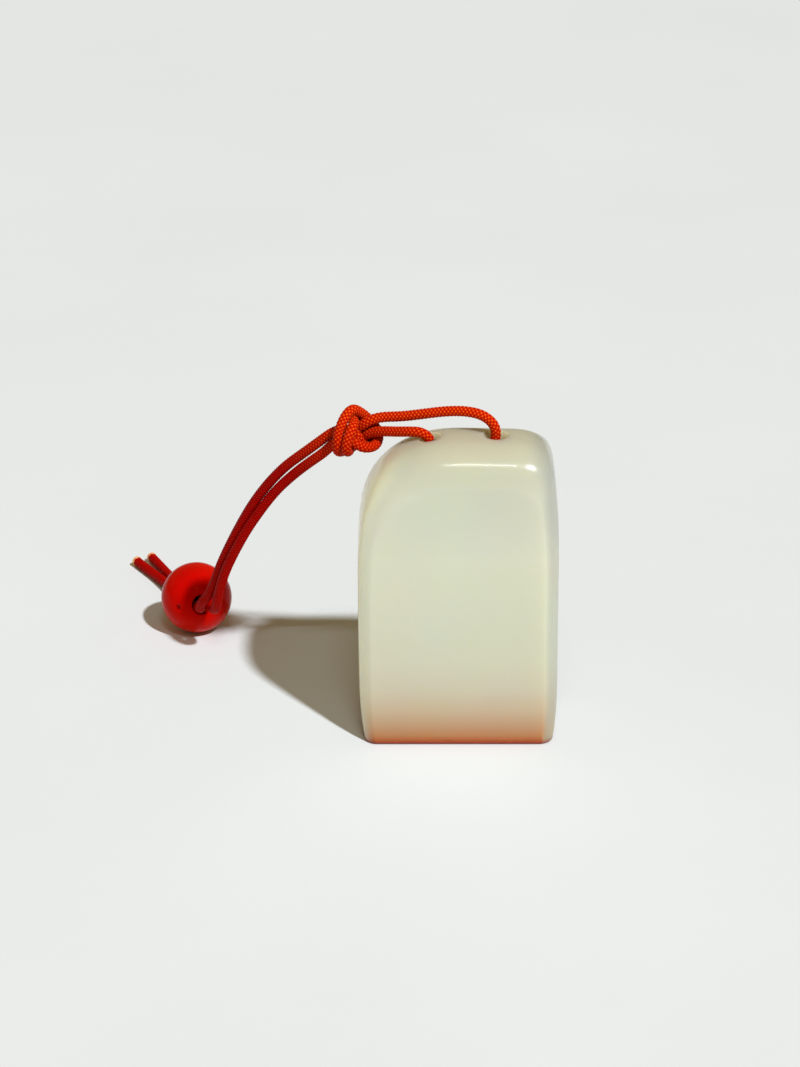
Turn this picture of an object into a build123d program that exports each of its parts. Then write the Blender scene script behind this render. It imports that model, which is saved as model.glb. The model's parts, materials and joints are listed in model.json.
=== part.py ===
from build123d import *
from math import pi, radians, sin, sqrt, tan
import os

# Seal stamp: a polished stone block with a curved cord tunnel through its top, a braided cord
# knotted behind the left shoulder, and a round bead threaded on both of its strands.
# Millimetres. The origin is at the bottom centre of the stone, +X to the right, front at -Y, +Z up.

# Stone block
stone_width = 21.2
stone_depth = 10.6
stone_height = 33.6
top_round = 4.4
corner_round = 1.6
foot_round = 0.4

# Outline of the front, from the left foot over the top: shares of half the width and of the height
outline_shares = [
    (-0.925, 0.0), (-0.965, 0.10), (-0.985, 0.30), (-0.990, 0.60), (-0.965, 0.74),
    (-0.875, 0.845), (-0.690, 0.925), (-0.300, 0.990), (0.170, 1.0), (0.500, 0.998),
    (0.725, 0.988), (0.880, 0.955), (0.945, 0.890), (0.975, 0.800), (0.995, 0.600),
    (1.0, 0.30), (0.995, 0.10), (0.965, 0.0),
]
# Degrees round the top edge at which the loft has a slice
rounding_angles = [0, 18, 36, 52, 66, 78, 90]

# Braided cord, the gap between its two strands in the bead, and the gap at its bends in the mouths
cord_diameter = 1.08
strand_gap = 0.03
flex_gap = 0.08

# Share of a run that an arc of the cord takes
arc_share = 0.45

# Cord tunnel: an arc between two countersunk mouths in the top
mouth_left_x = -3.1
mouth_right_x = 3.9
mouth_depth = 0.4
tunnel_sag = 2.3
tunnel_clearance = 0.12
countersink_radius = 1.35
countersink_depth = 1.15

# Bead: its place, and the way the front of its bore faces, in degrees to the right and upwards
bead_diameter = 8.0
bead_x = -29.1
bead_y = 23.0
bore_clearance = 0.12
bore_edge_round = 0.15
bore_heading = 13.0
bore_rise = 12.0
bore_lead_front = 1.6
bore_lead_back = 1.4

# Seal face: a raised rim and a row of square spirals, left standing in a sunk field
rim_width = 1.0
relief_depth = 0.6
field_round = 0.8
fret_margin = 0.7
fret_columns = 4
fret_column_gap = 0.75
fret_line = 0.5
fret_space = 0.5
fret_legs = 7

# Melted end of each tail
melted_length = 0.5
melted_swell = 0.05
melted_round = 0.2

# Length by which a cutting shape runs past what it cuts, and the step at which gaps are measured
overrun = 1.0
gap_step = 0.3

half_width = stone_width / 2
half_depth = stone_depth / 2
cord_radius = cord_diameter / 2
tunnel_radius = cord_radius + tunnel_clearance
strand_offset = (cord_diameter + strand_gap) / 2
bead_radius = bead_diameter / 2
bead_centre = Vector(bead_x, bead_y, bead_radius)
mouth_z = stone_height - mouth_depth

# Way out of the front of the bead's bore, and the way from one strand to the other inside it
bore_front = Vector(0, -1, 0).rotate(Axis.X, -bore_rise).rotate(Axis.Z, bore_heading)
strand_side = bore_front.cross(Vector(0, 0, 1)).normalized()


def bore_point(from_centre, side):
    """A point on one strand's line through the bead, this far towards the front of the bore."""
    return bead_centre + bore_front * from_centre + strand_side * (side * strand_offset)


# Route of the strand from the right mouth: to the knot, through it, down to the bead, and its tail
right_loop = [
    (mouth_right_x, 0, mouth_z), (3.8, 0.05, 34.6), (2.6, 0.4, 35.6), (0.8, 0.9, 35.85),
    (-1.4, 1.45, 35.6), (-3.7, 1.9, 35.1), (-5.85, 2.55, 34.55), (-7.95, 3.05, 34.3),
    (-9.15, 2.95, 34.0),
]
right_knot = [
    (-9.95, 3.1, 33.4), (-10.65, 3.55, 32.75), (-11.3, 3.3, 31.9), (-11.25, 2.15, 31.0),
    (-11.6, 0.9, 31.15), (-11.7, 0.35, 32.15), (-11.2, 0.9, 33.65), (-10.75, 2.4, 34.05),
    (-11.25, 3.65, 33.8), (-10.75, 4.55, 33.4), (-9.4, 4.8, 32.35), (-8.95, 4.1, 31.25),
    (-9.45, 3.1, 30.85), (-10.15, 2.4, 31.5), (-10.65, 2.3, 32.75),
]
right_pendant = [
    (-11.7, 2.7, 33.1), (-13.05, 3.35, 32.75), (-14.5, 3.85, 31.55), (-16.15, 4.85, 29.75),
    (-18.2, 6.2, 27.4), (-20.1, 7.6, 24.8), (-21.8, 9.0, 21.9), (-23.2, 10.4, 18.9),
    (-24.5, 11.8, 15.8), (-25.65, 13.1, 12.8), (-26.5, 14.25, 10.0), (-27.3, 15.3, 7.8),
    (-28.1, 16.4, 6.3),
]
right_tail = [
    (-31.8, 30.0, 2.2), (-33.6, 32.3, 1.35), (-34.9, 35.0, 0.85), (-36.05, 37.6, 0.64),
    (-37.0, 39.9, 0.62),
]

# Route of the strand from the left mouth
left_loop = [
    (mouth_left_x, 0, mouth_z), (-3.85, 0.1, 33.75), (-5.0, 0.5, 33.7), (-6.4, 1.3, 33.35),
    (-7.8, 2.15, 33.05), (-8.8, 2.8, 32.7),
]
left_knot = [
    (-9.4, 3.1, 32.3), (-10.0, 3.7, 31.85), (-10.85, 3.75, 30.7), (-11.95, 3.1, 30.4),
    (-12.6, 1.8, 30.85), (-12.6, 1.0, 32.0), (-12.45, 1.4, 33.3), (-11.85, 2.15, 34.65),
    (-11.05, 3.2, 35.2), (-10.25, 4.05, 34.45), (-9.45, 4.2, 33.7), (-8.5, 4.0, 32.6),
    (-8.25, 3.5, 31.9), (-8.6, 2.2, 31.3), (-9.9, 1.25, 31.5), (-10.9, 1.25, 32.2),
]
left_pendant = [
    (-11.85, 1.95, 32.15), (-12.85, 2.85, 31.7), (-14.1, 3.3, 30.1), (-15.55, 4.3, 28.65),
    (-17.4, 5.8, 26.55), (-19.35, 7.15, 24.1), (-21.1, 8.35, 21.25), (-22.7, 9.6, 18.3),
    (-24.05, 10.9, 15.25), (-25.2, 12.15, 12.3), (-25.95, 13.3, 9.5), (-26.35, 14.35, 7.3),
    (-26.75, 15.9, 5.7),
]
left_tail = [
    (-30.7, 30.5, 2.2), (-32.2, 32.6, 1.5), (-33.5, 35.3, 1.0), (-34.55, 38.3, 0.66),
    (-35.35, 41.0, 0.62),
]


def side_step(distance, radius):
    """How far a quarter round of this radius has drawn in at this distance from the middle."""
    past = max(distance - (half_depth - radius), 0)
    return radius - sqrt(max(radius**2 - past**2, 0))


def outline_slice(y):
    """The front outline at depth y, drawn in by the roundings, with its sides run on below the foot."""
    width_share = 1 - side_step(abs(y), corner_round) / half_width
    height_share = 1 - side_step(abs(y), top_round) / stone_height
    points = [
        Vector(half_width * width_share * x_share, y, stone_height * height_share * z_share)
        for x_share, z_share in outline_shares
    ]
    drop = Vector(0, 0, -overrun)
    corners = [points[-1], points[-1] + drop, points[0] + drop, points[0]]
    return Wire([Edge.make_spline(points)] + [Edge.make_line(*ends) for ends in zip(corners, corners[1:])])


def stone_block():
    """The plain block: one loft from back to front, cut flat at the foot, with its foot edge eased."""
    depths = [half_depth - top_round * (1 - sin(radians(angle))) for angle in rounding_angles]
    slices = [outline_slice(y) for y in [-depth for depth in reversed(depths)] + depths]
    block = split(Solid.make_loft(slices), bisect_by=Plane.XY, keep=Keep.TOP)
    return fillet(block.edges().group_by(Axis.Z)[0], foot_round)


def swept_round(path, radius):
    """A round bar of this radius along a path, square at both ends."""
    start = Plane(origin=path @ 0, z_dir=path % 0)
    return sweep(start * Circle(radius), path=path)


def tunnel_arc(cut_back):
    """The arc through the stone from mouth to mouth, shortened by this length at both ends."""
    middle_x = (mouth_left_x + mouth_right_x) / 2
    left_mouth = Vector(mouth_left_x, 0, mouth_z)
    lowest = Vector(middle_x, 0, mouth_z - tunnel_sag)
    right_mouth = Vector(mouth_right_x, 0, mouth_z)
    whole = Edge.make_three_point_arc(left_mouth, lowest, right_mouth)
    share = cut_back / whole.length
    return Edge.make_three_point_arc(whole @ share, lowest, whole @ (1 - share))


def mouth_cutter(x):
    """The countersink of one mouth, down to where it is as narrow as the tunnel."""
    slope = (countersink_radius - tunnel_radius) / countersink_depth
    height = countersink_depth + overrun
    resting = (Align.CENTER, Align.CENTER, Align.MIN)
    cone = Cone(tunnel_radius, tunnel_radius + slope * height, height, align=resting)
    return Pos(x, 0, stone_height - countersink_depth) * cone


def spiral_strips(width, height):
    """A square spiral that turns inwards leg by leg, as flat strips, from its lower left corner."""
    headings = [(0, 1), (1, 0), (0, -1), (-1, 0)]
    pitch = fret_line + fret_space
    x, y = 0, 0
    strips = []
    for leg in range(fret_legs):
        across, up = headings[leg % 4]
        length = (width if across else height) - pitch * max(0, (leg - 1) // 2)
        end_x = x + across * length
        end_y = y + up * length
        strip = Rectangle(abs(end_x - x) + fret_line, abs(end_y - y) + fret_line)
        strips.append(Pos((x + end_x) / 2, (y + end_y) / 2) * strip)
        x, y = end_x, end_y
    return strips


def seal_field():
    """The sunk field of the seal face, with the spirals left standing in it."""
    foot_left = half_width * outline_shares[0][0] + foot_round
    foot_right = half_width * outline_shares[-1][0] - foot_round
    field_width = foot_right - foot_left - 2 * rim_width
    field_height = stone_depth - 2 * foot_round - 2 * rim_width
    field_x = (foot_left + foot_right) / 2
    inner_width = field_width - 2 * fret_margin - fret_line
    spiral_height = field_height - 2 * fret_margin - fret_line
    column_pitch = (inner_width + fret_column_gap + fret_line) / fret_columns
    spiral_width = column_pitch - fret_column_gap - fret_line
    flat = RectangleRounded(field_width, field_height, field_round)
    for column in range(fret_columns):
        left = -inner_width / 2 + column * column_pitch
        for strip in spiral_strips(spiral_width, spiral_height):
            if column % 2:
                strip = Pos(spiral_width) * mirror(strip, about=Plane.YZ)
            flat -= Pos(left, -spiral_height / 2) * strip
    return Pos(field_x, 0, -overrun) * extrude(flat, relief_depth + overrun, dir=(0, 0, 1))


def make_seal_stone():
    """The block with its cord tunnel, its two mouths and its carved seal face."""
    stone = stone_block() - swept_round(tunnel_arc(0), tunnel_radius)
    stone -= mouth_cutter(mouth_left_x)
    stone -= mouth_cutter(mouth_right_x)
    return stone - seal_field()


def make_tunnel_cord():
    """The cord inside the stone, cut back from the bends at the mouths."""
    return swept_round(tunnel_arc(cord_radius + flex_gap), cord_radius)


def corner_radii(points):
    """The radius of the arc at each inner point, as large as its two runs allow."""
    radii = []
    for before, here, after in zip(points, points[1:], points[2:]):
        turn = (here - before).get_angle(after - here)
        shorter = min((here - before).length, (after - here).length)
        radii.append(arc_share * shorter / tan(radians(turn / 2)))
    return radii


def stretch_path(route, first, last):
    """The route from the middle of one run to the middle of another, or from or to its end."""
    points = [Vector(*point) for point in route]
    radii = corner_radii(points)
    start = points[0] if first == 0 else (points[first - 1] + points[first]) / 2
    end = points[-1] if last == len(points) else (points[last - 1] + points[last]) / 2
    first_corner = max(first, 1)
    inner = points[first_corner:last] if last < len(points) else points[first_corner:-1]
    return FilletPolyline(start, *inner, end, radius=radii[first_corner - 1:first_corner - 1 + len(inner)])


def hinge_end(route):
    """The ball on which a strand flexes in its mouth: the lower half, under the strand's end."""
    start = Vector(*route[0])
    along = (Vector(*route[1]) - start).normalized()
    half_ball = Sphere(cord_radius, arc_size1=-90, arc_size2=0)
    return Plane(origin=start, z_dir=along) * half_ball


def melted_end(route):
    """The short swollen end where a tail was melted so that it can't fray."""
    tip = Vector(*route[-1])
    along = (tip - Vector(*route[-2])).normalized()
    resting = (Align.CENTER, Align.CENTER, Align.MIN)
    stub = Cylinder(cord_radius + melted_swell, melted_length, align=resting)
    stub = fillet(stub.edges().filter_by(GeomType.CIRCLE), melted_round)
    return Plane(origin=tip, z_dir=along) * stub


def make_bead():
    """The bead, with a bore that the two strands fill side by side."""
    ball = Sphere(bead_radius)
    bore_radius = strand_offset + cord_radius + bore_clearance
    bore = Cylinder(bore_radius, bead_diameter + overrun)
    bead = Plane(origin=bead_centre, z_dir=bore_front) * (ball - bore)
    mouths = bead.edges().filter_by(GeomType.CIRCLE).sort_by(lambda edge: -edge.length)
    rims = [edge for edge in mouths if abs(edge.radius - bore_radius) < bore_clearance]
    return fillet(rims, bore_edge_round)


right_through = [bore_point(bead_radius + bore_lead_front, 1), bore_point(-bead_radius - bore_lead_back, 1)]
left_through = [bore_point(bead_radius + bore_lead_front, -1), bore_point(-bead_radius - bore_lead_back, -1)]
right_route = right_loop + right_knot + right_pendant + right_through + right_tail
left_route = left_loop + left_knot + left_pendant + left_through + left_tail


def strand_nodes(side, loop, knot, pendant, route):
    """The stretches of one strand: loop, its part of the knot, pendant and tail."""
    knot_start = len(loop)
    knot_end = knot_start + len(knot)
    bead_run = knot_end + len(pendant) + 1
    loop_tube = swept_round(stretch_path(route, 0, knot_start), cord_radius)
    return {
        f"loop_strand_{side}": loop_tube + hinge_end(route),
        f"knot_{side}": swept_round(stretch_path(route, knot_start, knot_end), cord_radius),
        f"pendant_strand_{side}": swept_round(stretch_path(route, knot_end, bead_run), cord_radius),
        f"tail_{side}": swept_round(stretch_path(route, bead_run, len(route)), cord_radius),
        f"melted_end_{side}": melted_end(route),
    }


def least_gap(path, other):
    """The least gap between two strands' surfaces, measured on points along their paths."""
    count = int(other.length / gap_step)
    others = [other @ (step / count) for step in range(count + 1)]
    return min(path.distance_to(point) for point in others) - cord_diameter


nodes = {"seal_stone": make_seal_stone(), "tunnel_cord": make_tunnel_cord(), "bead": make_bead()}
nodes.update(strand_nodes("right", right_loop, right_knot, right_pendant, right_route))
nodes.update(strand_nodes("left", left_loop, left_knot, left_pendant, left_route))

os.makedirs("parts", exist_ok=True)
for name, shape in nodes.items():
    export_step(shape, f"parts/{name}.step")

paths = {}
for side, route in (("right", right_route), ("left", left_route)):
    paths[side] = stretch_path(route, 0, len(route))
    radii = [round(radius, 1) for radius in corner_radii([Vector(*point) for point in route])]
    print(side, "strand length", round(paths[side].length, 1), "radii", radii)
print("least gap between the strands", round(least_gap(paths["right"], paths["left"]), 2))
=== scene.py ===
import json
import math

import bmesh
import bpy
import numpy as np
from mathutils import Matrix, Vector, noise


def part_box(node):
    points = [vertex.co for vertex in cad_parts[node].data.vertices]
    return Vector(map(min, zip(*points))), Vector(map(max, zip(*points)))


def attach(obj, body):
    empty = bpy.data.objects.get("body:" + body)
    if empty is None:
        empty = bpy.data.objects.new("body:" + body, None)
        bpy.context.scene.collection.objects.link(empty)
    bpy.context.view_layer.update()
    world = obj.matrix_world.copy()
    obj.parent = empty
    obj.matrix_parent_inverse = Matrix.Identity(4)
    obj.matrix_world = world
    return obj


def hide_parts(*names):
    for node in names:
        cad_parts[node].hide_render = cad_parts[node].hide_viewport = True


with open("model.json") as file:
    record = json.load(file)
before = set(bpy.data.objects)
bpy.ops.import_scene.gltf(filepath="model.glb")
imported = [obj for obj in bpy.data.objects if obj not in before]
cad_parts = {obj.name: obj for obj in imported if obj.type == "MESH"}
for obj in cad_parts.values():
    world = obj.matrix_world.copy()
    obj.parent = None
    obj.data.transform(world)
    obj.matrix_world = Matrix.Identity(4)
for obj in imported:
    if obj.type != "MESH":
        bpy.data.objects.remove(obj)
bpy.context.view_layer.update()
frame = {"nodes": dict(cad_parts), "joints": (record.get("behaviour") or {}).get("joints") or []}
millimetre = 0.001

# Seal stone
# A block of pale green-white stone, sawn, rounded at its top and polished until light soaks into it.
# Its foot is pressed into vermilion paste, which stays in the carved face and glows up through it.
stone_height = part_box("seal_stone")[1].z
swing_joint = next(joint for joint in frame["joints"] if joint["name"] == "lanyard_swing")
mouth_height = swing_joint["pos_m"][2] / millimetre
mouth_places = [Vector((x, 0, mouth_height)) * millimetre for x in (-3.1, 3.9)]
tint_inner_radius = 0.9 * millimetre
tint_outer_radius = 1.7 * millimetre
ink_line_height = 0.7 * millimetre
stone_soak_depth = 4.5 * millimetre
cloud_share = 0.10
mouth_tint = (0.49, 0.44, 0.27, 1)
ink_colour = (0.30, 0.015, 0.001, 1)

# Heights in millimetres and the stone's colours there: on its front, and on the faces that turn to its
# left, with painted light, and to its right, with painted shade. The foot is red with paste, and the front
# darker and browner towards the top.
front_levels = [
    (0.0, (0.36, 0.035, 0.002)),
    (0.5, (0.41, 0.095, 0.012)),
    (1.2, (0.445, 0.210, 0.085)),
    (2.4, (0.475, 0.310, 0.180)),
    (4.1, (0.525, 0.425, 0.290)),
    (6.4, (0.560, 0.525, 0.400)),
    (9.5, (0.590, 0.590, 0.455)),
    (14.6, (0.605, 0.625, 0.495)),
    (21.6, (0.630, 0.655, 0.525)),
    # Darker and browner towards the top.
    (28.6, (0.585, 0.610, 0.500)),
    (31.0, (0.515, 0.535, 0.430)),
    (33.6, (0.480, 0.470, 0.345)),
]
# Painted light: the faces that turn left are coloured much lighter than the front.
left_levels_painted_light = [
    (0.0, (0.56, 0.42, 0.30)),
    (2.4, (0.66, 0.58, 0.44)),
    (6.4, (0.76, 0.74, 0.59)),
    (9.5, (0.84, 0.86, 0.69)),
    (14.6, (0.87, 0.91, 0.74)),
    (21.6, (0.90, 0.93, 0.75)),
    (25.5, (0.92, 0.96, 0.74)),
    (28.6, (0.93, 0.97, 0.70)),
    (33.6, (0.86, 0.89, 0.62)),
]
# Painted shade: the faces that turn right are coloured darker than the front.
right_levels_painted_shade = [
    (0.0, (0.34, 0.28, 0.18)),
    (2.4, (0.38, 0.34, 0.26)),
    (6.4, (0.42, 0.41, 0.34)),
    (9.5, (0.450, 0.460, 0.385)),
    (14.6, (0.460, 0.480, 0.410)),
    (21.6, (0.450, 0.470, 0.395)),
    (28.6, (0.380, 0.400, 0.360)),
    (31.0, (0.350, 0.370, 0.345)),
    (33.6, (0.380, 0.390, 0.310)),
]

# How far a face turns to a side, as the X of its normal, where that side's painted light (left) and
# painted shade (right) start and are full.
painted_light_left_turn = (-0.3, -1.0)
painted_shade_right_turn = (0.0, 0.6)


def new_material(name):
    """A material, its node tree, its shader and the object coordinates."""
    material = bpy.data.materials.new(name)
    material.use_nodes = True
    tree = material.node_tree
    place = tree.nodes.new("ShaderNodeTexCoord").outputs["Object"]
    return material, tree, tree.nodes["Principled BSDF"], place


def one_axis(tree, vector, axis):
    """The X, Y or Z of a vector."""
    parts = tree.nodes.new("ShaderNodeSeparateXYZ")
    tree.links.new(vector, parts.inputs[0])
    return parts.outputs[axis]


def distance_to(tree, place, point):
    """How far each place is from a point."""
    distance = tree.nodes.new("ShaderNodeVectorMath")
    distance.operation = "DISTANCE"
    tree.links.new(place, distance.inputs[0])
    distance.inputs[1].default_value = point
    return distance.outputs["Value"]


def progress(tree, value, start, end, interpolation="LINEAR"):
    """How far a value has come from its start to its end, from 0 to 1."""
    mapped = tree.nodes.new("ShaderNodeMapRange")
    mapped.interpolation_type = interpolation
    mapped.inputs["From Min"].default_value = start
    mapped.inputs["From Max"].default_value = end
    tree.links.new(value, mapped.inputs["Value"])
    return mapped.outputs["Result"]


def mottling(tree, place, scale, detail):
    """A soft random pattern through the piece."""
    pattern = tree.nodes.new("ShaderNodeTexNoise")
    pattern.inputs["Scale"].default_value = scale
    pattern.inputs["Detail"].default_value = detail
    tree.links.new(place, pattern.inputs["Vector"])
    return pattern.outputs


def ramped(tree, value, stops):
    """The colour that (position, colour) stops give for a value from 0 to 1."""
    ramp = tree.nodes.new("ShaderNodeValToRGB")
    elements = ramp.color_ramp.elements
    while len(elements) < len(stops):
        elements.new(0.5)
    for element, (position, colour) in zip(elements, stops):
        element.position = position
        element.color = (*colour, 1)
    tree.links.new(value, ramp.inputs["Fac"])
    return ramp.outputs["Color"]


def blended(tree, share, below, above, blend="MIX"):
    """Mixes two colours by a share; each is a socket or a plain value."""
    mix = tree.nodes.new("ShaderNodeMix")
    mix.data_type = "RGBA"
    mix.blend_type = blend
    for name, value in (("Factor", share), ("A", below), ("B", above)):
        if isinstance(value, bpy.types.NodeSocket):
            tree.links.new(value, mix.inputs[name])
        else:
            mix.inputs[name].default_value = value
    return mix.outputs["Result"]


def polished_stone():
    """Milky stone, coloured by height, with painted light on faces that turn left, painted shade on faces
    that turn right, and an ink line.
    """
    material, tree, shader, place = new_material("polished_stone")
    height = one_axis(tree, place, "Z")
    level = progress(tree, height, 0, stone_height)
    shades = []
    for levels in (front_levels, left_levels_painted_light, right_levels_painted_shade):
        stops = [(up * millimetre / stone_height, colour) for up, colour in levels]
        shades.append(ramped(tree, level, stops))
    shade, left_painted_light, right_painted_shade = shades
    facing = one_axis(tree, place.node.outputs["Normal"], "X")
    # Painted light on faces that turn left and painted shade on faces that turn right.
    shade = blended(tree, progress(tree, facing, *painted_light_left_turn, "SMOOTHSTEP"), shade, left_painted_light)
    shade = blended(tree, progress(tree, facing, *painted_shade_right_turn, "SMOOTHSTEP"), shade, right_painted_shade)

    # Browner round the two mouths.
    nearest_mouth = tree.nodes.new("ShaderNodeMath")
    nearest_mouth.operation = "MINIMUM"
    for socket, mouth_place in zip(nearest_mouth.inputs, mouth_places):
        tree.links.new(distance_to(tree, place, mouth_place), socket)
    tinted = progress(tree, nearest_mouth.outputs["Value"], tint_outer_radius, tint_inner_radius)
    shade = blended(tree, tinted, shade, mouth_tint)

    clouds = mottling(tree, place, scale=110, detail=3)
    shade = blended(tree, cloud_share, shade, clouds["Color"], "SOFT_LIGHT")
    shade = blended(tree, progress(tree, height, ink_line_height, 0), shade, ink_colour)
    tree.links.new(shade, shader.inputs["Base Color"])
    shader.inputs["Subsurface Weight"].default_value = 0.85
    shader.inputs["Subsurface Radius"].default_value = (1.0, 0.9, 0.6)
    shader.inputs["Subsurface Scale"].default_value = stone_soak_depth
    shader.inputs["Roughness"].default_value = 0.2
    shader.inputs["Specular IOR Level"].default_value = 0.3
    shader.inputs["Coat Weight"].default_value = 0.15
    shader.inputs["Coat Roughness"].default_value = 0.08
    return material


seal_stone = frame["nodes"]["seal_stone"]
seal_stone.data.materials.clear()
seal_stone.data.materials.append(polished_stone())
seal_stone.data.shade_smooth()

# Cord
# One length of fine nylon cord, braided from twelve carriers, pulled through the stone's tunnel.
# Its two strands are tied together in one overhand knot, threaded through the bead and cut.
cord_diameter = 1.08 * millimetre
carriers_each_way = 6
braid_lay = 2.4 * millimetre
braid_fullness = 0.02 * millimetre
yarn_relief = 0.08 * millimetre
yarn_wave = 0.035 * millimetre
yarn_round_share = 0.96
ring_step = 0.055 * millimetre
ring_sides = 56
spline_steps = 40
# Heights where the cord's painted shade gives way to painted light.
painted_shade_below = 27 * millimetre
painted_light_above = 35.5 * millimetre
dye_share = 0.25

# The yarn's colours from its grooves up to its crowns: painted shade on the lower cord near the bead and
# painted light on the high loop, each with painted shade in the grooves and a painted highlight on the
# crowns.
low_yarn_painted_shade = [
    (0.2, (0.15, 0.0005, 0.0003)),
    (0.6, (0.29, 0.001, 0.0005)),
    (0.88, (0.38, 0.002, 0.001)),
    # A painted highlight on the crowns.
    (1, (0.46, 0.005, 0.001)),
]
loop_yarn_painted_light = [
    (0.2, (0.18, 0.0008, 0.0004)),
    (0.6, (0.42, 0.005, 0.001)),
    (0.88, (0.56, 0.022, 0.002)),
    # A painted highlight on the crowns.
    (1, (0.88, 0.180, 0.010)),
]

# The strands lie side by side in the bead's bore, turned halfway from level to upright.
bead_joint = next(joint for joint in frame["joints"] if joint["name"] == "bead_turn")
bead_centre = Vector(bead_joint["pos_m"])
bead_low, bead_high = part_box("bead")
bead_radius = (bead_high.z - bead_low.z) / 2
bore_front = Vector(bead_joint["axis"]).normalized()
bore_lead_front = 1.1 * millimetre
bore_lead_back = 1.4 * millimetre
strand_gap = 0.03 * millimetre
strand_offset = (cord_diameter + strand_gap) / 2
strand_turn = math.radians(45)
strand_side = bore_front.cross(Vector((0, 0, 1))).normalized()
strand_side.rotate(Matrix.Rotation(strand_turn, 3, bore_front))

# The points of both strands' routes, in millimetres: from just inside the mouths, over the stone,
# round the knot and down to the bead, and from behind the bead to the tips.
start_depth = 0.25
right_to_bead = [
    (3.79, 0, mouth_height - start_depth), (3.9, 0, 33.3), (3.8, 0.05, 34.6), (2.6, 0.4, 35.6),
    (0.8, 0.9, 35.85), (-1.4, 1.45, 35.6), (-3.7, 1.9, 35.1), (-5.85, 2.55, 34.55),
    (-7.95, 3.05, 34.3), (-9.15, 2.95, 34.0), (-9.95, 3.1, 33.4), (-10.65, 3.55, 32.75),
    (-11.3, 3.3, 31.9), (-11.25, 2.15, 31.0), (-11.6, 0.9, 31.15), (-11.7, 0.35, 32.15),
    (-11.2, 0.9, 33.65), (-10.75, 2.4, 34.05), (-11.25, 3.65, 33.8), (-10.75, 4.55, 33.4),
    (-9.4, 4.8, 32.35), (-8.95, 4.1, 31.25), (-9.45, 3.1, 30.85), (-10.15, 2.4, 31.5),
    (-10.65, 2.3, 32.75), (-11.7, 2.7, 33.1), (-13.0, 3.5, 32.5), (-14.5, 3.95, 31.15),
    (-16.2, 4.9, 29.45), (-18.2, 6.2, 27.4), (-20.1, 7.6, 24.8), (-21.8, 9.0, 21.9),
    (-23.2, 10.4, 18.9), (-24.5, 11.8, 15.8), (-25.65, 13.1, 12.8), (-26.5, 14.25, 10.0),
    (-27.3, 15.3, 7.8), (-28.25, 16.45, 6.35),
]
right_tail = [
    (-31.9, 30.6, 1.5), (-33.1, 33.2, 0.85), (-34.6, 36.0, 0.64), (-35.9, 38.1, 0.62),
    (-37.0, 39.9, 0.62),
]
left_to_bead = [
    (-2.99, 0, mouth_height - start_depth), (-3.2, 0, 33.4), (-4.0, 0.15, 33.8), (-5.0, 0.5, 33.7),
    (-6.4, 1.3, 33.35), (-7.8, 2.15, 33.05), (-8.8, 2.8, 32.7), (-9.4, 3.1, 32.3),
    (-10.0, 3.7, 31.85), (-10.85, 3.75, 30.7), (-11.95, 3.1, 30.4), (-12.6, 1.8, 30.85),
    (-12.6, 1.0, 32.0), (-12.45, 1.4, 33.3), (-11.85, 2.15, 34.65), (-11.05, 3.2, 35.2),
    (-10.25, 4.05, 34.45), (-9.45, 4.2, 33.7), (-8.5, 4.0, 32.6), (-8.25, 3.5, 31.9),
    (-8.6, 2.2, 31.3), (-9.9, 1.25, 31.5), (-10.9, 1.25, 32.2), (-11.85, 1.95, 32.15),
    (-12.85, 2.75, 31.6), (-14.1, 3.3, 30.1), (-15.55, 4.3, 28.65), (-17.4, 5.8, 26.55),
    (-19.35, 7.15, 24.1), (-21.1, 8.35, 21.25), (-22.7, 9.6, 18.3), (-24.05, 10.9, 15.25),
    (-25.2, 12.15, 12.3), (-25.95, 13.3, 9.5), (-26.35, 14.35, 7.3), (-26.6, 15.85, 5.65),
]
left_tail = [
    (-30.5, 30.4, 2.4), (-31.85, 33.05, 1.45), (-32.95, 35.45, 0.8), (-34.05, 38.2, 0.64),
    (-35.35, 41.0, 0.62),
]


def new_object(name, data):
    """An object of this name, put into the scene."""
    made = bpy.data.objects.new(name, data)
    bpy.context.scene.collection.objects.link(made)
    return made


def strand_route(to_bead, tail, side):
    """A strand's route in metres: to the bead, straight through its bore, and the tail."""
    aside = strand_side * (side * strand_offset)
    before_bead = bead_centre + bore_front * (bead_radius + bore_lead_front) + aside
    after_bead = bead_centre - bore_front * (bead_radius + bore_lead_back) + aside
    start = [Vector(point) * millimetre for point in to_bead]
    end = [Vector(point) * millimetre for point in tail]
    return [*start, before_bead, after_bead, *end]


def spline_points(route):
    """Points read from the smooth spline that has this route as its control points."""
    curve = bpy.data.curves.new("route", "CURVE")
    curve.dimensions = "3D"
    spline = curve.splines.new("NURBS")
    spline.points.add(len(route) - 1)
    for point, place in zip(spline.points, route):
        point.co = (*place, 1)
    spline.order_u = 3
    spline.use_endpoint_u = True
    spline.resolution_u = spline_steps
    line = bpy.data.objects.new("route", curve)
    mesh = bpy.data.meshes.new_from_object(line)
    points = [vertex.co.copy() for vertex in mesh.vertices]
    bpy.data.meshes.remove(mesh)
    bpy.data.objects.remove(line)
    bpy.data.curves.remove(curve)
    return points


def even_rings(points, step):
    """Places at even steps along a line of points, with their distances from its start."""
    line = np.array([tuple(point) for point in points])
    runs = np.linalg.norm(np.diff(line, axis=0), axis=1)
    travelled = np.concatenate([[0], np.cumsum(runs)])
    count = int(round(travelled[-1] / step)) + 1
    distances = np.linspace(0, travelled[-1], count)
    places = np.stack([np.interp(distances, travelled, line[:, k]) for k in range(3)], axis=1)
    return places, distances


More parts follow.
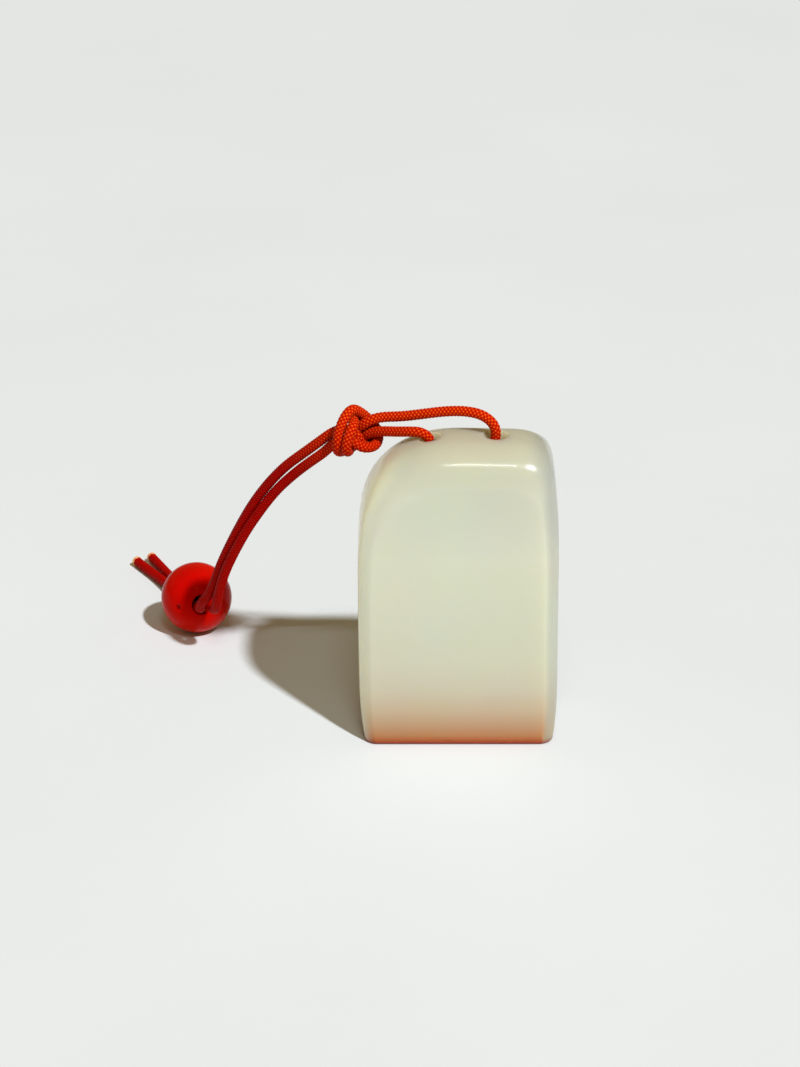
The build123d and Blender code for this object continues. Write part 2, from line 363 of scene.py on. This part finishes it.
def carried_frames(places):
    """Two directions across a line that doesn't start upright, carried along it without twist."""
    along = np.gradient(places, axis=0)
    along /= np.linalg.norm(along, axis=1)[:, None]
    across = np.zeros_like(places)
    first = np.cross(along[0], (0.0, 0.0, 1.0))
    across[0] = first / np.linalg.norm(first)
    for k in range(1, len(places)):
        turned = across[k - 1] - along[k] * np.dot(across[k - 1], along[k])
        across[k] = turned / np.linalg.norm(turned)
    return across, np.cross(along, across)


def yarn_crown(yarns):
    """The rounded height of yarns that lie at whole numbers: 1 on their crowns, less beside them."""
    from_crown = 2 * (yarns - np.round(yarns))
    return np.sqrt(1 - from_crown**2 * yarn_round_share)


def braid_height(distances, angles):
    """Height of the braid's surface: yarns that wind both ways, each over one and under the next."""
    turns = angles[None, :] / (2 * math.pi)
    lays = distances[:, None] / braid_lay
    one_way = carriers_each_way * (turns - lays)
    other_way = carriers_each_way * (turns + lays)
    one_up = np.cos(math.pi * (other_way + np.round(one_way)))
    other_up = -np.cos(math.pi * (one_way + np.round(other_way)))
    one_height = yarn_relief * (yarn_crown(one_way) - 1) + yarn_wave * (one_up - 1)
    other_height = yarn_relief * (yarn_crown(other_way) - 1) + yarn_wave * (other_up - 1)
    return np.maximum(one_height, other_height)


def braided_tube(name, points):
    """A tube along the points with the braid as real relief."""
    places, distances = even_rings(points, ring_step)
    across, over = carried_frames(places)
    angles = np.linspace(0, 2 * math.pi, ring_sides, endpoint=False)
    height = braid_height(distances, angles)
    radius = cord_diameter / 2 + braid_fullness + height
    spokes = across[:, None, :] * np.cos(angles)[None, :, None]
    spokes = spokes + over[:, None, :] * np.sin(angles)[None, :, None]
    surface = places[:, None, :] + spokes * radius[:, :, None]
    vertices = np.concatenate([surface.reshape(-1, 3), places[:1], places[-1:]])

    ring = np.arange(len(places) - 1)[:, None] * ring_sides
    next_ring = ring + ring_sides
    side = np.arange(ring_sides)[None, :]
    beside = (side + 1) % ring_sides
    quads = np.stack([ring + side, ring + beside, next_ring + beside, next_ring + side], axis=2)
    faces = quads.reshape(-1, 4).tolist()
    first_centre = len(places) * ring_sides
    last_ring = first_centre - ring_sides
    for k in range(ring_sides):
        after = (k + 1) % ring_sides
        faces.append((first_centre, after, k))
        faces.append((first_centre + 1, last_ring + k, last_ring + after))

    mesh = bpy.data.meshes.new(name)
    mesh.from_pydata(vertices.tolist(), [], faces)
    mesh.shade_smooth()
    crown = mesh.attributes.new("crown", "FLOAT", "POINT")
    crown_height = 1 + height.ravel() / (yarn_relief + yarn_wave)
    crown.data.foreach_set("value", [*crown_height, 1.0, 1.0])
    return new_object(name, mesh)


def braided_nylon():
    """Silky nylon yarn, deep red, with painted shade low down and painted light on the high loop, where a
    painted highlight turns its crowns orange.
    """
    material, tree, shader, place = new_material("braided_nylon")
    # The braid's height drives painted shade in its grooves and a painted highlight on its crowns.
    crown = tree.nodes.new("ShaderNodeAttribute")
    crown.attribute_name = "crown"
    shaded_yarn = ramped(tree, crown.outputs["Fac"], low_yarn_painted_shade)
    lit_yarn = ramped(tree, crown.outputs["Fac"], loop_yarn_painted_light)
    # Painted light and painted shade: the cord turns from its shaded colours low down to its lit colours
    # on the high loop.
    painted_light_share = progress(tree, one_axis(tree, place, "Z"), painted_shade_below, painted_light_above)
    yarn = blended(tree, painted_light_share, shaded_yarn, lit_yarn)
    dye = mottling(tree, place, scale=900, detail=4)
    dyed = blended(tree, dye_share, yarn, dye["Color"], "SOFT_LIGHT")
    tree.links.new(dyed, shader.inputs["Base Color"])
    shader.inputs["Roughness"].default_value = 0.35
    shader.inputs["Specular IOR Level"].default_value = 0.02
    shader.inputs["Specular Tint"].default_value = (1.0, 0.38, 0.05, 1)
    return material


cord_material = braided_nylon()
routes = {"right": (right_to_bead, right_tail, 1), "left": (left_to_bead, left_tail, -1)}
strand_lines = {}
for side_name, (to_bead, tail, side) in routes.items():
    line = spline_points(strand_route(to_bead, tail, side))
    strand = braided_tube(f"braided_strand_{side_name}", line)
    strand.data.materials.append(cord_material)
    strand_lines[side_name] = line
    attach(strand, "lanyard")
    stretches = [f"{stretch}_{side_name}" for stretch in ("loop_strand", "knot", "pendant_strand", "tail")]
    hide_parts(*stretches)

tunnel_cord = frame["nodes"]["tunnel_cord"]
tunnel_cord.data.materials.clear()
tunnel_cord.data.materials.append(cord_material)
tunnel_cord.data.shade_smooth()

# Melted ends
# The two tips of the cord, cut and then held to a flame, so that the nylon ran into a hard amber
# blob that can't fray. They are a little wider than the cord.
blob_length = 0.5 * millimetre
blob_overhang = 0.05 * millimetre
blob_radius = cord_diameter / 2 + blob_overhang
blob_sides = 40
lump_size = 0.6 * millimetre
lump_height = 0.03 * millimetre
blob_soak_depth = 0.4 * millimetre
melt_colours = [(0.35, (0.75, 0.20, 0.05)), (0.65, (0.85, 0.42, 0.16))]

# Places along the blob as shares of its length, with the shares of its radius there.
blob_shares = [
    (-0.10, 0), (-0.10, 0.80), (0.0, 0.93), (0.30, 1), (0.60, 0.97), (0.85, 0.82), (0.98, 0.50), (1, 0),
]


def turned_piece(name, profile, sides, origin, axis, closed=False):
    """A piece turned about an axis from (distance along it, radius) steps."""
    shape = bmesh.new()
    rings = []
    for along, radius in profile:
        if radius == 0:
            rings.append([shape.verts.new((0, 0, along))])
            continue
        ring = []
        for k in range(sides):
            angle = 2 * math.pi * k / sides
            ring.append(shape.verts.new((radius * math.cos(angle), radius * math.sin(angle), along)))
        rings.append(ring)
    pairs = list(zip(rings, rings[1:]))
    if closed:
        pairs.append((rings[-1], rings[0]))
    for lower, upper in pairs:
        for k in range(sides):
            corners = [lower[k % len(lower)], lower[(k + 1) % len(lower)]]
            corners += [upper[(k + 1) % len(upper)], upper[k % len(upper)]]
            shape.faces.new(list(dict.fromkeys(corners)))
    bmesh.ops.recalc_face_normals(shape, faces=shape.faces)
    mesh = bpy.data.meshes.new(name)
    shape.to_mesh(mesh)
    shape.free()
    turn = axis.to_track_quat("Z", "Y").to_matrix().to_4x4()
    mesh.transform(Matrix.Translation(origin) @ turn)
    mesh.shade_smooth()
    return new_object(name, mesh)


def melted_nylon():
    """Hard, half clear amber, where the flame drew the dye out."""
    material, tree, shader, place = new_material("melted_nylon")
    scorch = mottling(tree, place, scale=1500, detail=2)
    tree.links.new(ramped(tree, scorch["Fac"], melt_colours), shader.inputs["Base Color"])
    shader.inputs["Subsurface Weight"].default_value = 0.5
    shader.inputs["Subsurface Radius"].default_value = (1.0, 0.5, 0.2)
    shader.inputs["Subsurface Scale"].default_value = blob_soak_depth
    shader.inputs["Roughness"].default_value = 0.3
    return material


melted_material = melted_nylon()
blob_profile = [(along * blob_length, out * blob_radius) for along, out in blob_shares]
for side_name, line in strand_lines.items():
    tip = line[-1]
    axis = (tip - line[-2]).normalized()
    blob = turned_piece(f"melted_tip_{side_name}", blob_profile, blob_sides, tip, axis)
    for vertex in blob.data.vertices:
        lump = noise.noise(vertex.co / lump_size)
        vertex.co += (vertex.co - tip).normalized() * (min(lump, 0) * lump_height)
    blob.data.materials.append(melted_material)
    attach(blob, "lanyard")
    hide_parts(f"melted_end_{side_name}")

# Bead
# A round bead of polished coral-red stone, drilled through and threaded on both strands together.
# The drill left an eased edge at each mouth, and the face beside the bore has one small pit.
bore_clearance = 0.03 * millimetre
bore_radius = strand_offset + cord_diameter / 2 + bore_clearance
bore_edge_round = 0.10 * millimetre
bead_sides = 96
bead_rings = 64
edge_steps = 5
pit_direction = Vector((-0.47, -0.877, 0.104)).normalized()
pit_centre = bead_centre + pit_direction * bead_radius
pit_radius = 0.42 * millimetre
pit_depth = 0.22 * millimetre
bead_soak_depth = 1.2 * millimetre
coral_colours = [(0.3, (0.48, 0.001, 0.0005)), (0.7, (0.60, 0.002, 0.001))]
# Painted rim light.
rim_painted_light = (0.50, 0.012, 0.002, 1)
# Painted shade in the pit.
pit_painted_shade = (0.03, 0.0003, 0.0003, 1)


def bead_profile():
    """The bead's closed outline: up the outside from mouth to mouth, and back down the bore."""
    mouth_reach = math.sqrt(bead_radius**2 - (bore_radius + bore_edge_round) ** 2)
    rim_angle = math.asin(mouth_reach / bead_radius)
    outside = []
    for k in range(bead_rings + 1):
        angle = -rim_angle + 2 * rim_angle * k / bead_rings
        outside.append((bead_radius * math.sin(angle), bead_radius * math.cos(angle)))
    edge = []
    for k in range(1, edge_steps + 1):
        angle = math.pi / 2 * k / edge_steps
        inward = bore_edge_round * math.sin(angle)
        down = bore_edge_round * (1 - math.cos(angle))
        edge.append((mouth_reach - down, bore_radius + bore_edge_round - inward))
    return outside + edge + [(-along, radius) for along, radius in reversed(edge)]


def coral_red():
    """Deep glossy red that light soaks into, with a painted rim light where it turns away from view and
    painted shade in its pit.
    """
    material, tree, shader, place = new_material("coral_red")
    veins = mottling(tree, place, scale=260, detail=3)
    shade = ramped(tree, veins["Fac"], coral_colours)
    # Painted rim light: more orange where the surface turns away from view.
    rim = tree.nodes.new("ShaderNodeLayerWeight")
    rim.inputs["Blend"].default_value = 0.25
    shade = blended(tree, rim.outputs["Facing"], shade, rim_painted_light)
    # Painted shade: the pit is coloured near black.
    pit_shade_share = progress(tree, distance_to(tree, place, pit_centre), pit_radius, 0)
    shade = blended(tree, pit_shade_share, shade, pit_painted_shade)
    tree.links.new(shade, shader.inputs["Base Color"])
    shader.inputs["Subsurface Weight"].default_value = 0.5
    shader.inputs["Subsurface Radius"].default_value = (1.0, 0.15, 0.05)
    shader.inputs["Subsurface Scale"].default_value = bead_soak_depth
    shader.inputs["Roughness"].default_value = 0.08
    shader.inputs["Specular IOR Level"].default_value = 0.04
    shader.inputs["Specular Tint"].default_value = (1.0, 0.25, 0.06, 1)
    return material


bead = turned_piece("coral_bead", bead_profile(), bead_sides, bead_centre, bore_front, closed=True)
for vertex in bead.data.vertices:
    reach = (vertex.co - pit_centre).length / pit_radius
    if reach < 1:
        vertex.co -= pit_direction * (pit_depth * (1 - reach**2) ** 2)
bead.data.materials.append(coral_red())
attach(bead, "bead")
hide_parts("bead")

# Table, light and camera
# The seal stands on pale paper under one hard lamp from the front right, in a pale room with one
# narrow window above the camera. The camera looks 24 degrees down from the front.
paper_half_width = 3.0
paper_colours = [(0.3, (0.702, 0.754, 0.770)), (0.7, (0.734, 0.783, 0.800))]
lamp_direction = Vector((0.5, -0.69, 1.0))
window_width = 128 * millimetre
window_height = 7 * millimetre
window_place = Vector((12, -345, 526)) * millimetre
stone_top = Vector((0, 0, stone_height))
camera_place = Vector((-6.064, -336.8, 174.4)) * millimetre
camera_target = Vector((-6.064, 3.96, 20.51)) * millimetre


def pale_paper():
    """Matt off-white paper with a faint unevenness."""
    material, tree, shader, place = new_material("pale_paper")
    patches = mottling(tree, place, scale=14, detail=5)
    tree.links.new(ramped(tree, patches["Fac"], paper_colours), shader.inputs["Base Color"])
    shader.inputs["Roughness"].default_value = 0.9
    shader.inputs["Specular IOR Level"].default_value = 0.2
    return material


floor_mesh = bpy.data.meshes.new("paper")
corner_signs = ((-1, -1), (1, -1), (1, 1), (-1, 1))
corners = [(x * paper_half_width, y * paper_half_width, 0) for x, y in corner_signs]
floor_mesh.from_pydata(corners, [], [(0, 1, 2, 3)])
floor = new_object("paper", floor_mesh)
floor.data.materials.append(pale_paper())

lamp = bpy.data.lights.new("lamp", "SUN")
lamp.energy = 3.52
lamp.angle = math.radians(3)
lamp.color = (0.95, 0.965, 1.0)
lamp_object = new_object("lamp", lamp)
lamp_object.rotation_euler = lamp_direction.to_track_quat("Z", "Y").to_euler()

window = bpy.data.lights.new("window", "AREA")
window.shape = "RECTANGLE"
window.size = window_width
window.size_y = window_height
window.energy = 0.42
window_object = new_object("window", window)
window_object.location = window_place
window_object.rotation_euler = (window_place - stone_top).to_track_quat("Z", "Y").to_euler()

room = bpy.data.worlds.new("pale_room")
room.use_nodes = True
room.node_tree.nodes["Background"].inputs["Color"].default_value = (1.0, 0.73, 0.38, 1)
room.node_tree.nodes["Background"].inputs["Strength"].default_value = 0.236
bpy.context.scene.world = room

camera = bpy.data.cameras.new("camera")
camera.lens = 118.6
camera.sensor_width = 36
camera.clip_start = 0.01
camera_object = new_object("camera", camera)
camera_object.location = camera_place
camera_object.rotation_euler = (camera_target - camera_place).to_track_quat("-Z", "Y").to_euler()
bpy.context.scene.camera = camera_object

bpy.context.scene.view_settings.view_transform = "Standard"
